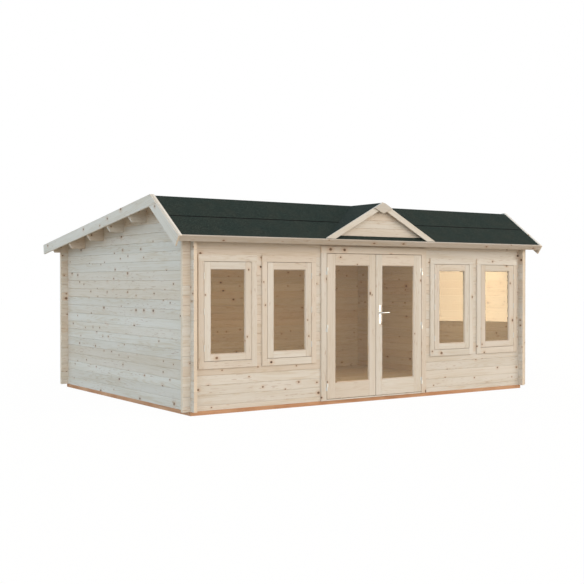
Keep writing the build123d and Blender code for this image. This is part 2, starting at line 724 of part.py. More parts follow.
with BuildPart() as door_lever:
    for face, outward in ((LEAF_FRONT - PLATE_THICK, -1), (LEAF_BACK + PLATE_THICK, 1)):
        foot_y = face + outward * LEVER_CLEAR
        hand_y = foot_y + outward * (LEVER_STAND - LEVER_RADIUS)
        rod((LEVER_X, foot_y, LEVER_HIGH), (0, outward, 0), BOSS_RADIUS, BOSS_LONG)
        rod((LEVER_X, foot_y, LEVER_HIGH), (0, outward, 0), LEVER_RADIUS, LEVER_STAND)
        rod((LEVER_X, hand_y, LEVER_HIGH), (1, 0, 0), LEVER_RADIUS, LEVER_LONG)
write(door_lever, "door_lever")

# Windows: frame with casings inside and out, a sash against its stop, and a pane
SASH_FRONT = LEAF_FRONT
SASH_BACK = SASH_FRONT + LEAF_THICK
SASH_HEIGHTS = (SASH_LOW, SASH_HIGH)
PANE_HEIGHTS = (SASH_LOW + SASH_BOTTOM_RAIL, SASH_HIGH - SASH_TOP_RAIL)
PANE_HALF = SASH_HALF - SASH_STILE
PANE_Y = (SASH_FRONT + SASH_BACK - GLASS_THICK) / 2
WINDOW_MIDDLES = (-FAR_WINDOW, -NEAR_WINDOW, NEAR_WINDOW, FAR_WINDOW)


def around(middle, half):
    """The span that far each side of a centre line."""
    return (middle - half, middle + half)


with BuildPart() as window_frames:
    for middle in WINDOW_MIDDLES:
        casing_span = around(middle, WINDOW_CASING_WIDE / 2)
        block(casing_span, (LEAF_FRONT, FRONT), WINDOW_CASING_HEIGHTS)
        block(around(middle, WINDOW_HOLE_HALF), (FRONT, FRONT_INNER), (SILL_JOINT, LINTEL_JOINT))
        block(casing_span, (FRONT_INNER, INNER_CASING_BACK), WINDOW_CASING_HEIGHTS)
        block(
            around(middle, SASH_HALF + SASH_GAP),
            (SASH_FRONT, SASH_BACK),
            (SASH_LOW - SASH_GAP, SASH_HIGH + SASH_GAP),
            mode=Mode.SUBTRACT,
        )
        block(
            around(middle, SASH_HALF - SASH_STOP),
            (SASH_BACK, INNER_CASING_BACK),
            (SASH_LOW + SASH_STOP, SASH_HIGH - SASH_STOP),
            mode=Mode.SUBTRACT,
        )
write(window_frames, "window_frames")

with BuildPart() as window_sashes:
    for middle in WINDOW_MIDDLES:
        block(around(middle, SASH_HALF), (SASH_FRONT, SASH_BACK), SASH_HEIGHTS)
        pane_span = around(middle, PANE_HALF)
        block(pane_span, (SASH_FRONT, SASH_BACK), PANE_HEIGHTS, mode=Mode.SUBTRACT)
        slant_round(pane_span, PANE_HEIGHTS, SASH_FRONT, 1)
        slant_round(pane_span, PANE_HEIGHTS, SASH_BACK, -1)
write(window_sashes, "window_sashes")

with BuildPart() as window_glass:
    for middle in WINDOW_MIDDLES:
        block(around(middle, PANE_HALF), (PANE_Y, PANE_Y + GLASS_THICK), PANE_HEIGHTS)
write(window_glass, "window_glass")
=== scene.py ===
import json
import math
import random

import bmesh
import bpy
from mathutils import Euler, Matrix, Vector


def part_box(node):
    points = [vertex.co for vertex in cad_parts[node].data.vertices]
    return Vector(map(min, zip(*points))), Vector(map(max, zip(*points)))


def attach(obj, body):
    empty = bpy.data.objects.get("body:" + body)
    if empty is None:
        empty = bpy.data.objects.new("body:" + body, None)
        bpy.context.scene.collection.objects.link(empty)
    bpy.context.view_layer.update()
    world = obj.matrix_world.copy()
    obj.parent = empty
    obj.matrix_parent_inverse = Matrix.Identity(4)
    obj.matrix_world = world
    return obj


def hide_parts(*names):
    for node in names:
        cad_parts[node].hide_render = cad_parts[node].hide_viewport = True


# Looks of a garden log cabin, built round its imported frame.
# Metres, +X right along the front, the front faces -Y, +Z up.

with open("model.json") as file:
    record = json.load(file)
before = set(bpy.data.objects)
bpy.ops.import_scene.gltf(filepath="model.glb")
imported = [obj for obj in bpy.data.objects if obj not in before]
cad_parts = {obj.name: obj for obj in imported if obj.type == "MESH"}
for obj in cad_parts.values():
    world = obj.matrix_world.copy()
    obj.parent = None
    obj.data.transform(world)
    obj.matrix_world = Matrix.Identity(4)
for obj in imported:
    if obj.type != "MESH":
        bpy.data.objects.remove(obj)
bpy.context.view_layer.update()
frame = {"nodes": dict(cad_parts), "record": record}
NODES = frame["nodes"]
RECORD = frame["record"]
BODY_OF = {node: body for body, nodes in RECORD["behaviour"]["bodies"].items() for node in nodes}

X, Y, Z = Vector((1, 0, 0)), Vector((0, 1, 0)), Vector((0, 0, 1))


def linear(red, green, blue):
    """A colour written 0 to 255 as the eye sees it, for a shader socket."""
    def channel(value):
        value = value / 255
        return value / 12.92 if value <= 0.04045 else ((value + 0.055) / 1.055) ** 2.4
    return (channel(red), channel(green), channel(blue), 1.0)


class Graph:
    """A material's or a world's node tree, with short calls for the nodes that patterns use."""

    def __init__(self, name, library=bpy.data.materials):
        self.owner = library.new(name)
        self.owner.use_nodes = True
        self.nodes = self.owner.node_tree.nodes
        self.links = self.owner.node_tree.links
        self.shader = self.nodes.get("Principled BSDF")
        self.output = self.nodes.get("Material Output") or self.nodes.get("World Output")

    def put(self, socket, value):
        """Set a socket to a constant, or link it to another socket."""
        if isinstance(value, bpy.types.NodeSocket):
            self.links.new(value, socket)
        else:
            socket.default_value = value

    def node(self, kind, inputs=(), out=0, **settings):
        """A new node's output. Its inputs are given in order, or by name."""
        node = self.nodes.new("ShaderNode" + kind)
        for key, value in settings.items():
            setattr(node, key, value)
        if isinstance(inputs, dict):
            for key, value in inputs.items():
                self.put(node.inputs[key], value)
        else:
            for socket, value in zip(node.inputs, inputs):
                self.put(socket, value)
        return node.outputs[out]

    def math(self, operation, *values):
        return self.node("Math", values, operation=operation)

    def vector(self, operation, *values, out=0):
        return self.node("VectorMath", values, out=out, operation=operation)

    def xyz(self, x, y=0.0, z=0.0):
        return self.node("CombineXYZ", (x, y, z))

    def split(self, vector):
        """The three values of a vector."""
        node = self.nodes.new("ShaderNodeSeparateXYZ")
        self.put(node.inputs[0], vector)
        return node.outputs

    def attribute(self, name):
        return self.split(self.node("Attribute", out="Vector", attribute_name=name))

    def step(self, value, low, high):
        """0 at low, 1 at high, smooth between them."""
        inputs = {"Value": value, "From Min": low, "From Max": high}
        return self.node("MapRange", inputs, interpolation_type="SMOOTHSTEP")

    def noise(self, vector, scale=1.0, detail=2.0, roughness=0.5):
        inputs = {"Vector": vector, "Scale": scale, "Detail": detail, "Roughness": roughness}
        return self.node("TexNoise", inputs)

    def mix(self, factor, first, second):
        """Mix two colours, by the sockets that a Mix node keeps for them."""
        node = self.nodes.new("ShaderNodeMix")
        node.data_type = "RGBA"
        self.put(node.inputs["Factor"], factor)
        self.put(node.inputs[6], first)
        self.put(node.inputs[7], second)
        return node.outputs[2]

    def tint(self, colour, pattern, share, towards):
        """Mix a share of the way to a colour, where a pattern is."""
        return self.mix(self.math("MULTIPLY", pattern, share), colour, towards)

    def seen_directly(self):
        """1 for camera rays and for mirrored and refracted ones."""
        path = self.nodes.new("ShaderNodeLightPath").outputs
        mirrored = self.math("MAXIMUM", path["Is Glossy Ray"], path["Is Transmission Ray"])
        return self.math("MAXIMUM", path["Is Camera Ray"], mirrored)

    def bump(self, height, strength, distance):
        inputs = {"Height": height, "Strength": strength, "Distance": distance}
        self.put(self.shader.inputs["Normal"], self.node("Bump", inputs))


# Colours of spruce
CREAM = linear(216, 205, 190)
PALE = linear(223, 213, 200)
LATEWOOD = linear(201, 180, 150)
PINK = linear(216, 190, 164)
RESIN = linear(196, 150, 108)
KNOT_RING = linear(150, 108, 72)
KNOT_HEART = linear(52, 38, 27)
END_GRAIN = linear(232, 212, 189)
END_RING = linear(214, 184, 152)
FLECK = linear(160, 112, 74)
# Brown of eased edges and joints: partly dirt, partly painted shade
EDGE_DIRT_AND_SHADE = linear(158, 118, 82)

# Knots sit in a random net, at most one to a cell
NET_CELLS = 5.2  # cells to a metre
NET_STRETCH = 0.8  # fewer of them along the grain
LEAST_KNOT = 0.0058  # radius of the smallest knot
KNOT_SPREAD = 0.0090  # and how much more the largest has
KNOT_STRAY = 0.005  # width of the band in which its ragged outline runs
HEART_REACH = (1.2, 0.8)  # where the dark heart ends and where it is full, in radii
RING_REACH = (1.6, 1.0)
HALO_REACH = (5.0, 1.0)
PARTING = 0.8  # how far lines part round a knot: share of the way that their pattern is pulled in

# Growth rings, as sines
FIGURE_LINES = 110.0  # radians over the whole range of the waves that shape the lines of a face
PITH_LINES = 1300.0  # radians to a metre of end grain
PITH_WAVER = 7.0


def spruce(name, knots, warmth=0.0, tone=1.0, figure=1.0, edge=0.25):
    """Planed spruce, on boards whose attributes hold the place in their grain, the place across
    their end, and three numbers drawn for each board.

    knots is the share of the net's cells that hold one, warmth adds pink boards, tone scales the
    brightness, figure is the strength of the grain and edge that of the brown on eased edges and
    in joints, which is partly dirt and partly painted shade.
    """
    g = Graph(name)
    s, t, w = g.attribute("grain")
    from_pith, through_pith, face = g.attribute("section")
    tone_dice, pink_dice, waver_dice = g.attribute("board")

    flat = g.xyz(g.math("MULTIPLY", s, NET_STRETCH), g.math("ADD", t, w))
    cells = g.nodes.new("ShaderNodeTexVoronoi")
    cells.voronoi_dimensions = "2D"
    g.put(cells.inputs["Vector"], flat)
    g.put(cells.inputs["Scale"], NET_CELLS)
    dice = g.nodes.new("ShaderNodeSeparateColor")
    g.put(dice.inputs[0], cells.outputs["Color"])
    knot_dice, size_dice, dark_dice = dice.outputs
    is_knot = g.math("LESS_THAN", knot_dice, knots)
    ragged = g.noise(g.xyz(s, t, w), scale=130.0)
    far = g.math("DIVIDE", cells.outputs["Distance"], NET_CELLS)
    far = g.math("SUBTRACT", g.math("MULTIPLY_ADD", ragged, KNOT_STRAY, far), KNOT_STRAY / 2)
    mostly_small = g.math("POWER", size_dice, 2.5)
    radii = g.math("DIVIDE", far, g.math("MULTIPLY_ADD", mostly_small, KNOT_SPREAD, LEAST_KNOT))
    dark = g.math("MULTIPLY_ADD", dark_dice, 0.55, 0.45)
    heart = g.math("MULTIPLY", g.step(radii, *HEART_REACH), g.math("MULTIPLY", is_knot, dark))
    ring = g.math("MULTIPLY", g.step(radii, *RING_REACH), is_knot)
    halo = g.math("MULTIPLY", g.step(radii, *HALO_REACH), is_knot)

    # Growth rings, cut lengthwise, part round a knot
    off_knot = g.split(g.vector("SUBTRACT", flat, cells.outputs["Position"]))
    aside = g.math("MULTIPLY", off_knot[1], g.math("MULTIPLY", halo, -PARTING))
    t_grain = g.math("ADD", t, aside)

    def stretched(along, across, detail=1.0, roughness=0.5):
        """Noise drawn out along the grain, with so many waves to a metre."""
        place = (g.math("MULTIPLY", s, along), g.math("MULTIPLY", t_grain, across),
                 g.math("MULTIPLY", w, across))
        return g.noise(g.xyz(*place), detail=detail, roughness=roughness)

    waves = stretched(along=0.42, across=7.0, detail=2.0, roughness=0.45)
    lines = g.step(g.math("SINE", g.math("MULTIPLY", waves, FIGURE_LINES)), -0.3, 1.0)
    streak = stretched(along=1.6, across=60.0, detail=3.0, roughness=0.6)
    fibre = stretched(along=9.0, across=420.0, detail=2.0, roughness=0.6)
    broad = stretched(along=0.7, across=9.0, detail=2.0)
    pocket = stretched(along=5.0, across=90.0)
    short_marks = g.step(stretched(along=9.0, across=95.0), 0.62, 0.72)
    fleck = g.math("MULTIPLY", short_marks, g.step(stretched(along=0.9, across=5.0), 0.4, 0.6))
    lines_here = g.math("MULTIPLY_ADD", g.step(broad, 0.62, 0.38), 0.36, 0.14)
    lines_here = g.math("MULTIPLY", lines, lines_here)

    colour = g.mix(g.step(broad, 0.3, 0.7), CREAM, PALE)
    for pattern, share, towards in (
        (g.step(pink_dice, 0.25, 1.0), 0.42 + warmth, PINK),
        (lines_here, 0.8 * figure, LATEWOOD),
        (g.step(streak, 0.52, 0.78), 0.42 * figure, LATEWOOD),
        (g.step(fibre, 0.4, 0.8), 0.14, PALE),
        (g.step(pocket, 0.73, 0.82), 0.55, RESIN),
        (fleck, 0.5 * figure, FLECK),
        (halo, 0.3, RESIN),
        (ring, 0.75, KNOT_RING),
        (heart, 0.95, KNOT_HEART),
    ):
        colour = g.tint(colour, pattern, share, towards)

    # End grain: rings round the pith
    pith = g.vector("LENGTH", g.xyz(from_pith, through_pith), out="Value")
    waver = g.noise(g.xyz(from_pith, through_pith, waver_dice), scale=45.0)
    waver = g.math("MULTIPLY", waver, PITH_WAVER)
    rings = g.step(g.math("SINE", g.math("MULTIPLY_ADD", pith, PITH_LINES, waver)), -0.2, 0.9)
    blotch = g.noise(g.xyz(from_pith, through_pith, pink_dice), scale=60.0, detail=3.0)
    end = g.tint(END_GRAIN, rings, 0.3, END_RING)
    end = g.tint(end, blotch, 0.25, LATEWOOD)
    colour = g.mix(g.step(face, 0.3, 0.7), colour, end)
    # Eased edges and joints tinted brown: partly dirt, partly painted shade
    colour = g.tint(colour, g.step(face, -0.3, -0.7), edge, EDGE_DIRT_AND_SHADE)

    level = g.math("MULTIPLY_ADD", tone_dice, 0.07, tone - 0.035)
    g.put(g.shader.inputs["Base Color"], g.vector("MULTIPLY", colour, g.xyz(level, level, level)))
    rough = g.math("MULTIPLY_ADD", streak, 0.16, 0.56)
    g.put(g.shader.inputs["Roughness"], g.math("SUBTRACT", rough, g.math("MULTIPLY", heart, 0.15)))
    g.shader.inputs["Specular IOR Level"].default_value = 0.3
    height = g.math("ADD", g.math("MULTIPLY", fibre, 0.5), g.math("MULTIPLY", lines, 0.4))
    g.bump(g.math("SUBTRACT", height, heart), strength=0.22, distance=0.0008)
    return g.owner


def treated_pine():
    """Pressure-treated pine, orange brown with darker streaks."""
    g = Graph("treated_pine")
    s, t, w = g.attribute("grain")
    tone_dice, _, _ = g.attribute("board")
    drawn_out = g.vector("MULTIPLY", g.xyz(s, t, w), (2.0, 60.0, 60.0))
    streak = g.noise(drawn_out, detail=4.0, roughness=0.6)
    patch = g.noise(g.xyz(s, t, w), scale=3.0, detail=3.0)
    colour = g.mix(g.step(patch, 0.3, 0.7), linear(190, 134, 94), linear(206, 156, 118))
    colour = g.tint(colour, g.step(streak, 0.45, 0.75), 0.65, linear(152, 98, 64))
    level = g.math("MULTIPLY_ADD", tone_dice, 0.1, 0.94)
    g.put(g.shader.inputs["Base Color"], g.vector("MULTIPLY", colour, g.xyz(level, level, level)))
    g.put(g.shader.inputs["Roughness"], g.math("MULTIPLY_ADD", streak, 0.2, 0.65))
    g.bump(streak, strength=0.3, distance=0.001)
    return g.owner


def mineral_felt():
    """Mineral-faced felt: green-black granules, with paler, darker and browner patches."""
    g = Graph("roofing_felt")
    place = g.node("TexCoord", out="Object")
    granule = g.noise(place, scale=900.0, roughness=0.7)
    speck = g.noise(place, scale=75.0, detail=3.0, roughness=0.7)
    patch = g.noise(place, scale=5.0, detail=4.0, roughness=0.65)
    colour = g.mix(g.step(patch, 0.35, 0.7), linear(40, 52, 47), linear(50, 56, 49))
    colour = g.tint(colour, g.step(speck, 0.5, 0.66), 0.55, linear(74, 84, 76))
    colour = g.tint(colour, g.step(speck, 0.5, 0.36), 0.5, linear(24, 31, 28))
    colour = g.tint(colour, g.step(granule, 0.6, 0.35), 0.6, linear(28, 35, 31))
    g.put(g.shader.inputs["Base Color"], colour)
    g.shader.inputs["Roughness"].default_value = 0.95
    g.shader.inputs["Specular IOR Level"].default_value = 0.15
    g.bump(g.math("ADD", granule, speck), strength=0.6, distance=0.0015)
    return g.owner


def bitumen():
    """Black bitumen, dull where dust has settled on it."""
    g = Graph("bitumen")
    dust = g.noise(g.node("TexCoord", out="Object"), scale=40.0, detail=3.0)
    colour = g.mix(g.step(dust, 0.4, 0.7), linear(8, 9, 9), linear(20, 21, 20))
    g.put(g.shader.inputs["Base Color"], colour)
    g.put(g.shader.inputs["Roughness"], g.math("MULTIPLY_ADD", dust, 0.1, 0.88))
    g.shader.inputs["Specular IOR Level"].default_value = 0.1
    g.bump(dust, strength=0.3, distance=0.0005)
    return g.owner


def float_glass():
    """Clear float glass, faintly bronze, that mirrors on the face that is met first."""
    g = Graph("clear_glass")
    g.nodes.remove(g.shader)
    clear = g.node("BsdfTransparent", {"Color": (0.88, 0.83, 0.76, 1)})
    mirror = g.node("BsdfGlossy", {"Color": (1, 1, 1, 1), "Roughness": 0.01})
    fresnel = g.node("Fresnel", {"IOR": 1.5})
    outside = g.math("SUBTRACT", 1.0, g.node("NewGeometry", out="Backfacing"))
    amount = g.math("MULTIPLY", fresnel, outside)
    g.put(g.output.inputs["Surface"], g.node("MixShader", (amount, clear, mirror)))
    return g.owner


def steel(name, colour, roughness):
    """Satin metal, faintly brushed."""
    g = Graph(name)
    drawn_out = g.vector("MULTIPLY", g.node("TexCoord", out="Object"), (900.0, 900.0, 40.0))
    brush = g.noise(drawn_out)
    colour = g.mix(g.math("MULTIPLY", brush, 0.35), colour, linear(150, 150, 148))
    g.put(g.shader.inputs["Base Color"], colour)
    g.shader.inputs["Metallic"].default_value = 1.0
    g.put(g.shader.inputs["Roughness"], g.math("MULTIPLY_ADD", brush, 0.2, roughness))
    g.bump(brush, strength=0.1, distance=0.0002)
    return g.owner


LOGS = spruce("spruce_logs", knots=0.5, figure=0.95, edge=0.0)
JOINERY = spruce("spruce_joinery", knots=0.42, figure=0.75)
TRIM = spruce("spruce_trim", knots=0.42, warmth=-0.34, tone=0.91, figure=0.8)
DIAMOND = spruce("spruce_diamond", knots=0.2, tone=0.8)
BARGE = spruce("spruce_barge", knots=0.42, warmth=-0.38, figure=0.7)
STRIPS = spruce("spruce_strips", knots=0.25, warmth=-0.42, tone=1.16, figure=0.5)
ROUGHER = spruce("spruce_roof_timber", knots=0.3, warmth=0.2, tone=0.95, figure=0.9)
TREATED = treated_pine()
FELT = mineral_felt()
# Near-black, for the beads that paint the shadow below the felt laps
LAP_SHADOW_BITUMEN = bitumen()
GLASS = float_glass()
ZINC = steel("zinc_plate", linear(226, 226, 222), roughness=0.35)
SATIN = steel("satin_steel", linear(230, 230, 228), roughness=0.25)


# Pieces and meshes
SHARP = 0.3  # edges that turn by more radians than this are eased


def place_piece(name, mesh, material, body, replaces=()):
    """Put a finished mesh in the scene as a piece of the object."""
    mesh.materials.append(material)
    piece = bpy.data.objects.new(name, mesh)
    bpy.context.scene.collection.objects.link(piece)
    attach(piece, body)
    if replaces:
        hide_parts(*replaces)


def cover(node, material):
    """Give a node of the frame a material."""
    NODES[node].data.materials.clear()
    NODES[node].data.materials.append(material)


def mesh_from(made, name):
    """A bmesh as a mesh. The bmesh is freed."""
    mesh = bpy.data.meshes.new(name)
    made.to_mesh(mesh)
    made.free()
    return mesh


def ease(solid, offset, sharp=SHARP, segments=1):
    """Take off a bmesh's sharp edges."""
    edges = [edge for edge in solid.edges
             if len(edge.link_faces) == 2 and edge.calc_face_angle() > sharp]
    bmesh.ops.bevel(solid, geom=edges, offset=offset, segments=segments, affect="EDGES",
                    clamp_overlap=True)


# Solids of the frame, cut up into the boards that they stand for
SAME_POINT = 1e-5
FLAT = 0.01  # radians


def solid_of(node):
    """A node's solids as a bmesh with whole flat faces."""
    solid = bmesh.new()
    solid.from_mesh(NODES[node].data)
    bmesh.ops.remove_doubles(solid, verts=solid.verts, dist=SAME_POINT)
    bmesh.ops.dissolve_limit(solid, angle_limit=FLAT, verts=solid.verts[:], edges=solid.edges[:])
    return solid


def cut_through(solid, place, across):
    """The parts of a solid below and above a plane, closed where it passed."""
    parts = []
    for cleared in ("clear_outer", "clear_inner"):
        part = solid.copy()
        everything = part.verts[:] + part.edges[:] + part.faces[:]
        bmesh.ops.bisect_plane(part, geom=everything, dist=1e-6, plane_co=place, plane_no=across,
                               **{cleared: True})
        open_edges = [edge for edge in part.edges if edge.is_boundary]
        bmesh.ops.holes_fill(part, edges=open_edges)
        parts.append(part)
    return parts


def cut_at(solids, across, places):
    """Solids cut by planes across one direction, at distances along it from the origin."""
    clearly = 1e-4
    for place in places:
        parts = []
        for solid in solids:
            distances = [vert.co.dot(across) for vert in solid.verts]
            if min(distances) < place - clearly and max(distances) > place + clearly:
                parts += cut_through(solid, across * place, across)
                solid.free()
            else:
                parts.append(solid)
        solids = parts
    return solids


def box_of(points):
    """Lowest and highest corners of a list of points."""
    return (Vector([min(point[axis] for point in points) for axis in range(3)]),
            Vector([max(point[axis] for point in points) for axis in range(3)]))


def place_in_order(body):
    """A body's box, rounded, to sort by, so that bodies come in the same order in each run."""
    return [round(value, 4) for corner in box_of(body[0]) for value in corner]


def separate(solid):
    """Each separate body in a bmesh, as lists of points and faces."""
    seen = set()
    bodies = []
    for first in solid.faces:
        if first in seen:
            continue
        seen.add(first)
        body = [first]
        for face in body:
            for edge in face.edges:
                for other in edge.link_faces:
                    if other not in seen:
                        seen.add(other)
                        body.append(other)
        number_of = {}
        for face in body:
            for vert in face.verts:
                number_of.setdefault(vert, len(number_of))
        points = [vert.co.copy() for vert in number_of]
        faces = [[number_of[vert] for vert in face.verts] for face in body]
        bodies.append((points, faces))
    return sorted(bodies, key=place_in_order)


def solid_boxes(node):
    """Boxes of a node's separate solids, from left to right."""
    boxes = [box_of(points) for points, _ in separate(solid_of(node))]
    return sorted(boxes, key=lambda box: (round(box[0].x, 3), box[0].z, box[0].y))


def long_way(points):
    """The axis along which a board is longest."""
    low, high = box_of(points)
    size = high - low
    return (X, Y, Z)[max(range(3), key=lambda axis: size[axis])]


ARRIS = 0.0015  # how far planed edges are eased
PURLIN_ARRIS = 0.002
ROOF_BOARD_ARRIS = 0.0025
GABLET_BOARD_ARRIS = 0.003
BEAD_ARRIS = 0.0008
GRAIN_FAR = 40.0  # boards take their grain from places up to this far apart
PITH_UP = 0.06  # farthest that the pith lies from a board's middle, up or down
PITH_SIDE = (0.01, 0.07)  # nearest and farthest to one side
UPRIGHT = 0.7  # cosine above which a board counts as upright
END_ON = 0.85  # the same for a face of end grain
ASLANT = 0.3  # and for one that slants


class Timber:
    """Boards joined in one mesh, each with its own grain."""

    def __init__(self, seed):
        self.points, self.faces = [], []
        self.grain, self.section, self.board = [], [], []
        self.random = random.Random(seed)

    def add(self, points, faces, along=None, arris=ARRIS):
        """Ease a board's edges and add it, with its grain along a direction."""
        along = (along or long_way(points)).normalized()
        up = Z if abs(along.z) < UPRIGHT else X
        side = along.cross(up).normalized()
        up = side.cross(along)
        board = bmesh.new()
        verts = [board.verts.new(point) for point in points]
        for face in faces:
            board.faces.new([verts[index] for index in face])
        bmesh.ops.recalc_face_normals(board, faces=board.faces)
        ease(board, arris)
        board.verts.index_update()
        low, high = box_of([vert.co for vert in board.verts])
        middle = (low + high) / 2
        far_along, far_up, far_side = (self.random.uniform(0, GRAIN_FAR) for _ in range(3))
        dice = [self.random.random() for _ in range(3)]
        pith_up = self.random.uniform(-PITH_UP, PITH_UP)
        pith_side = self.random.choice((-1, 1)) * self.random.uniform(*PITH_SIDE)
        start = len(self.points)
        self.points += [vert.co.copy() for vert in board.verts]
        for face in board.faces:
            self.faces.append([start + vert.index for vert in face.verts])
            cut = self.cut_of(face.normal, along, up, side)
            for vert in face.verts:
                place = vert.co - middle
                self.grain += [vert.co.dot(along) + far_along, vert.co.dot(up) + far_up,
                               vert.co.dot(side) + far_side]
                self.section += [place.dot(up) - pith_up, place.dot(side) - pith_side, cut]
                self.board += dice
        board.free()

    @staticmethod
    def cut_of(normal, along, up, side):
        """1 on end grain, -1 on an eased edge or in a joint, 0 on a planed face."""
        lengthwise, upright, sideways = (abs(normal.dot(way)) for way in (along, up, side))
        if lengthwise > END_ON:
            return 1.0
        return -1.0 if min(upright, sideways) > ASLANT > lengthwise else 0.0

    def finish(self, name, material, node):
        """Make the piece that stands for a node."""
        mesh = bpy.data.meshes.new(name)
        mesh.from_pydata(self.points, [], self.faces)
        for title in ("grain", "section", "board"):
            attribute = mesh.attributes.new(title, "FLOAT_VECTOR", "CORNER")
            attribute.data.foreach_set("vector", getattr(self, title))
        mesh.validate()
        place_piece(name, mesh, material, BODY_OF[node], (node,))


def timber_for(node, material, cuts=(), along=None, arris=ARRIS):
    """Replace a node by the boards that it is cut up into."""
    solids = [solid_of(node)]
    for across, places in cuts:
        solids = cut_at(solids, across, places)
    timber = Timber(node)
    for solid in solids:
        for points, faces in separate(solid):
            timber.add(points, faces, along, arris)
        solid.free()
    timber.finish(node + "_timber", material, node)


def board_cuts(node, across, pitch):
    """Planes between the boards that lie side by side in a node, about a pitch apart."""
    low, high = (corner.dot(across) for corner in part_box(node))
    count = max(1, round((high - low) / pitch))
    return [(across, [low + (high - low) * number / count for number in range(1, count)])]


def slope_of(node, across, outward):
    """Direction up a sloping board, from its outer top edge to its highest edge."""
    points = [vert.co.copy() for vert in NODES[node].data.vertices]
    top = max(points, key=lambda point: point.z)
    foot = max(points, key=lambda point: (round(point.dot(across) * outward, 4), point.z))
    rise = top - foot
    rise -= across.cross(Z) * rise.dot(across.cross(Z))
    return rise.normalized()


FRONT_SLOPE = slope_of("roof_boards_front", Y, -1)
REAR_SLOPE = slope_of("roof_boards_rear", Y, 1)
LEFT_GABLET_SLOPE = slope_of("gablet_roof_left", X, -1)
RIGHT_GABLET_SLOPE = slope_of("gablet_roof_right", X, 1)
ONE_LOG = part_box("front_wall_over_windows")
LOG_PITCH = ONE_LOG[1].z - ONE_LOG[0].z
BASE_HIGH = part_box("base_beams")[1].z
MOST_COURSES = 22
FRONT_JOINTS = [BASE_HIGH + (course + 0.5) * LOG_PITCH for course in range(MOST_COURSES)]
SIDE_JOINTS = [BASE_HIGH + (course + 1) * LOG_PITCH for course in range(MOST_COURSES)]
BOARD = 0.092  # width of roof and floor boards
GABLET_BOARD = 0.098

# Base
timber_for("base_beams", TREATED)
timber_for("base_joists", TREATED)

# Stacked logs
for node in ("front_wall_below_windows", "front_wall_piers", "front_wall_over_windows",
             "front_wall_top", "rear_wall", "rear_wall_top_log"):
    timber_for(node, LOGS, [(Z, FRONT_JOINTS)], X)
for node in ("left_gable_wall", "right_gable_wall"):
    timber_for(node, LOGS, [(Z, SIDE_JOINTS)], Y)

# Roof, floor and gablet
for node in ("ridge_purlin", "roof_purlins"):
    timber_for(node, ROUGHER, along=X, arris=PURLIN_ARRIS)
for node, across, slope in (
    ("roof_boards_front", X, FRONT_SLOPE), ("roof_boards_rear", X, REAR_SLOPE),
    ("gablet_roof_left", Y, LEFT_GABLET_SLOPE), ("gablet_roof_right", Y, RIGHT_GABLET_SLOPE),
):
    timber_for(node, ROUGHER, board_cuts(node, across, BOARD), slope, ROOF_BOARD_ARRIS)
timber_for("floor_boards", JOINERY, board_cuts("floor_boards", Y, BOARD), X)
timber_for("gablet_boards", JOINERY, board_cuts("gablet_boards", Z, GABLET_BOARD), X,
           GABLET_BOARD_ARRIS)
for node, slope in (
    ("barge_boards_front", FRONT_SLOPE), ("barge_boards_rear", REAR_SLOPE),
    ("gablet_barge_left", LEFT_GABLET_SLOPE), ("gablet_barge_right", RIGHT_GABLET_SLOPE),
):
    timber_for(node, BARGE, along=slope)
for node, material in (("fascia_front", TRIM), ("fascia_rear", TRIM), ("gablet_diamond", DIAMOND)):
    timber_for(node, material, along=X)
for node, slope in (("verge_strips_front", FRONT_SLOPE), ("verge_strips_rear", REAR_SLOPE)):
    timber_for(node, STRIPS, along=slope)

# Door frame
for node in ("door_side_casings", "door_head_casings", "door_threshold", "door_head"):
    timber_for(node, JOINERY)
JAMB_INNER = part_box("door_threshold")[1].x
timber_for("door_jambs", JOINERY, [(X, [-JAMB_INNER, JAMB_INNER])], Z)

# Framed pieces: stiles, rails and a slanting bead round the glass
GLAZING_SLANT = 0.009
CASING_LAP = 0.040  # a casing's hold on the logs round its opening
SASH_GAP = 0.004
SASH_STOP = 0.016  # the frame's lap behind the edge of a sash


def grown(box, by):
    """A box made larger all round, across the front."""
    shift = Vector((by, 0, by))
    return box[0] - shift, box[1] + shift


def add_block(timber, low, high, along):
    """A square-edged board."""
    points = [Vector((x, y, z))
              for x in (low.x, high.x) for y in (low.y, high.y) for z in (low.z, high.z)]
    faces = [(0, 1, 3, 2), (4, 6, 7, 5), (0, 4, 5, 1), (2, 3, 7, 6), (0, 2, 6, 4), (1, 5, 7, 3)]
    timber.add(points, faces, along)


def add_ring(timber, outer, inner, front, back, head_runs_over):
    """Four boards round an opening. The head lies over the sides, or the sides run past it."""
    (low, high), (hole_low, hole_high) = outer, inner
    side_top = hole_high.z if head_runs_over else high.z
    for x_low, x_high in ((low.x, hole_low.x), (hole_high.x, high.x)):
        add_block(timber, Vector((x_low, front, low.z)), Vector((x_high, back, side_top)), Z)
    head_from, head_to = (low.x, high.x) if head_runs_over else (hole_low.x, hole_high.x)
    add_block(timber, Vector((head_from, front, hole_high.z)), Vector((head_to, back, high.z)), X)
    add_block(timber, Vector((hole_low.x, front, low.z)),
              Vector((hole_high.x, back, hole_low.z)), X)


def add_bead(timber, glass, front, back):
    """Four mitred strips between a frame and its glass, with slanting edges on both faces."""
    profile = [(0, front + GLAZING_SLANT), (GLAZING_SLANT, front), (GLAZING_SLANT, back),
               (0, back - GLAZING_SLANT)]
    low, high = glass
    corners = [(low.x, low.z, -1, -1), (high.x, low.z, 1, -1),
               (high.x, high.z, 1, 1), (low.x, high.z, -1, 1)]
    faces = [(0, 1, 2, 3), (7, 6, 5, 4)]
    faces += [(k, k + 4, (k + 1) % 4 + 4, (k + 1) % 4) for k in range(4)]
    for number in range(4):
        points = []
        for x, z, x_out, z_out in (corners[number], corners[(number + 1) % 4]):
            points += [Vector((x + x_out * out, y, z + z_out * out)) for out, y in profile]
        timber.add(points, faces, X if number % 2 == 0 else Z, BEAD_ARRIS)


